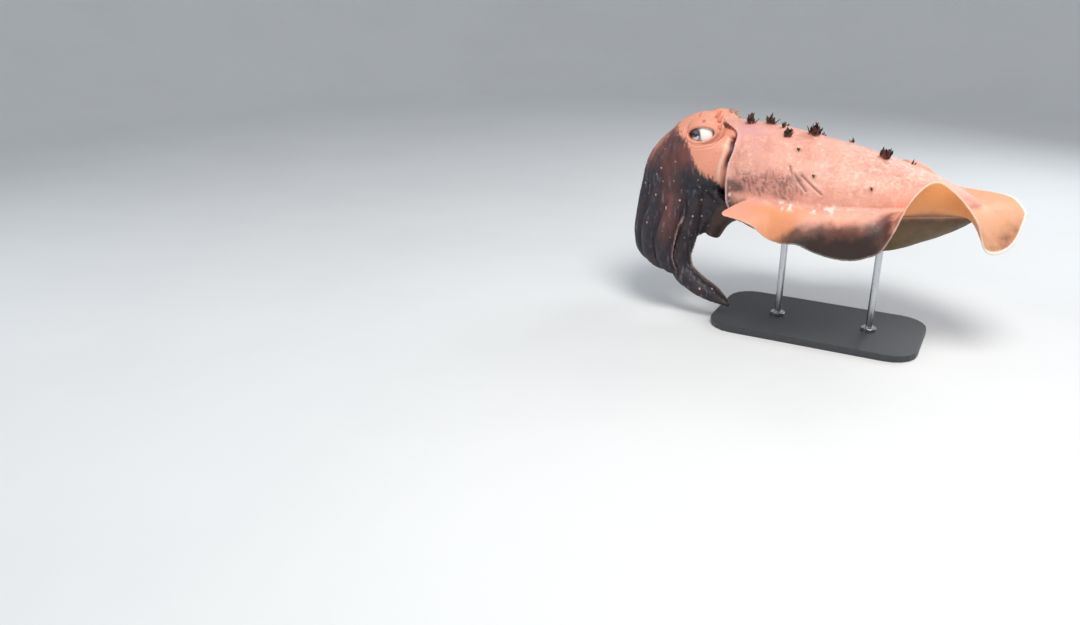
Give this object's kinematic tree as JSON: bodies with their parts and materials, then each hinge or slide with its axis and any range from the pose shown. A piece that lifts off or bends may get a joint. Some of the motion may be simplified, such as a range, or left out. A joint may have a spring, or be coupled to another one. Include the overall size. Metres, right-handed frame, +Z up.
{
  "type": "animal model on a display stand",
  "caption": "Life-size model of a giant Australian cuttlefish swimming with drooping arms and rippling fins, held over a flat display base on rods.",
  "frame": {"origin": "centre of the stand base's underside", "axes": "+Z up, +X along the stand from the animal's head to its tail, the animal's left side faces -Y"},
  "size_m": [0.5501, 0.2511, 0.3178],
  "materials": {
    "mantle_skin": "satin",
    "fin_skin": "satin",
    "arm_skin": "satin",
    "dark_skin": "satin",
    "lips": "satin",
    "eye": "gloss",
    "stand_steel": "matte",
    "stand_rod": "satin"
  },
  "bodies": {
    "root": {"mantle": "mantle_skin", "head": "mantle_skin", "eye_left": "eye", "eye_right": "eye", "mouth": "lips", "funnel": "dark_skin", "fin_left_1": "fin_skin", "fin_left_2": "fin_skin", "fin_left_3": "fin_skin", "fin_left_4": "fin_skin", "fin_left_5": "fin_skin", "fin_right_1": "fin_skin", "fin_right_2": "fin_skin", "fin_right_3": "fin_skin", "fin_right_4": "fin_skin", "fin_right_5": "fin_skin", "arm_left_1_base": "arm_skin", "arm_left_1_tip": "arm_skin", "arm_left_2_base": "arm_skin", "arm_left_2_tip": "arm_skin", "arm_left_3_base": "arm_skin", "arm_left_3_tip": "arm_skin", "arm_left_4_base": "arm_skin", "arm_left_4_middle": "arm_skin", "arm_left_4_tip": "arm_skin", "arm_right_1_base": "arm_skin", "arm_right_1_tip": "arm_skin", "arm_right_2_base": "arm_skin", "arm_right_2_tip": "arm_skin", "arm_right_3_base": "arm_skin", "arm_right_3_tip": "arm_skin", "arm_right_4_base": "arm_skin", "arm_right_4_tip": "arm_skin", "stand_base": "stand_steel", "stand_rod_front": "stand_rod", "stand_rod_rear": "stand_rod"}
  },
  "joints": []
}
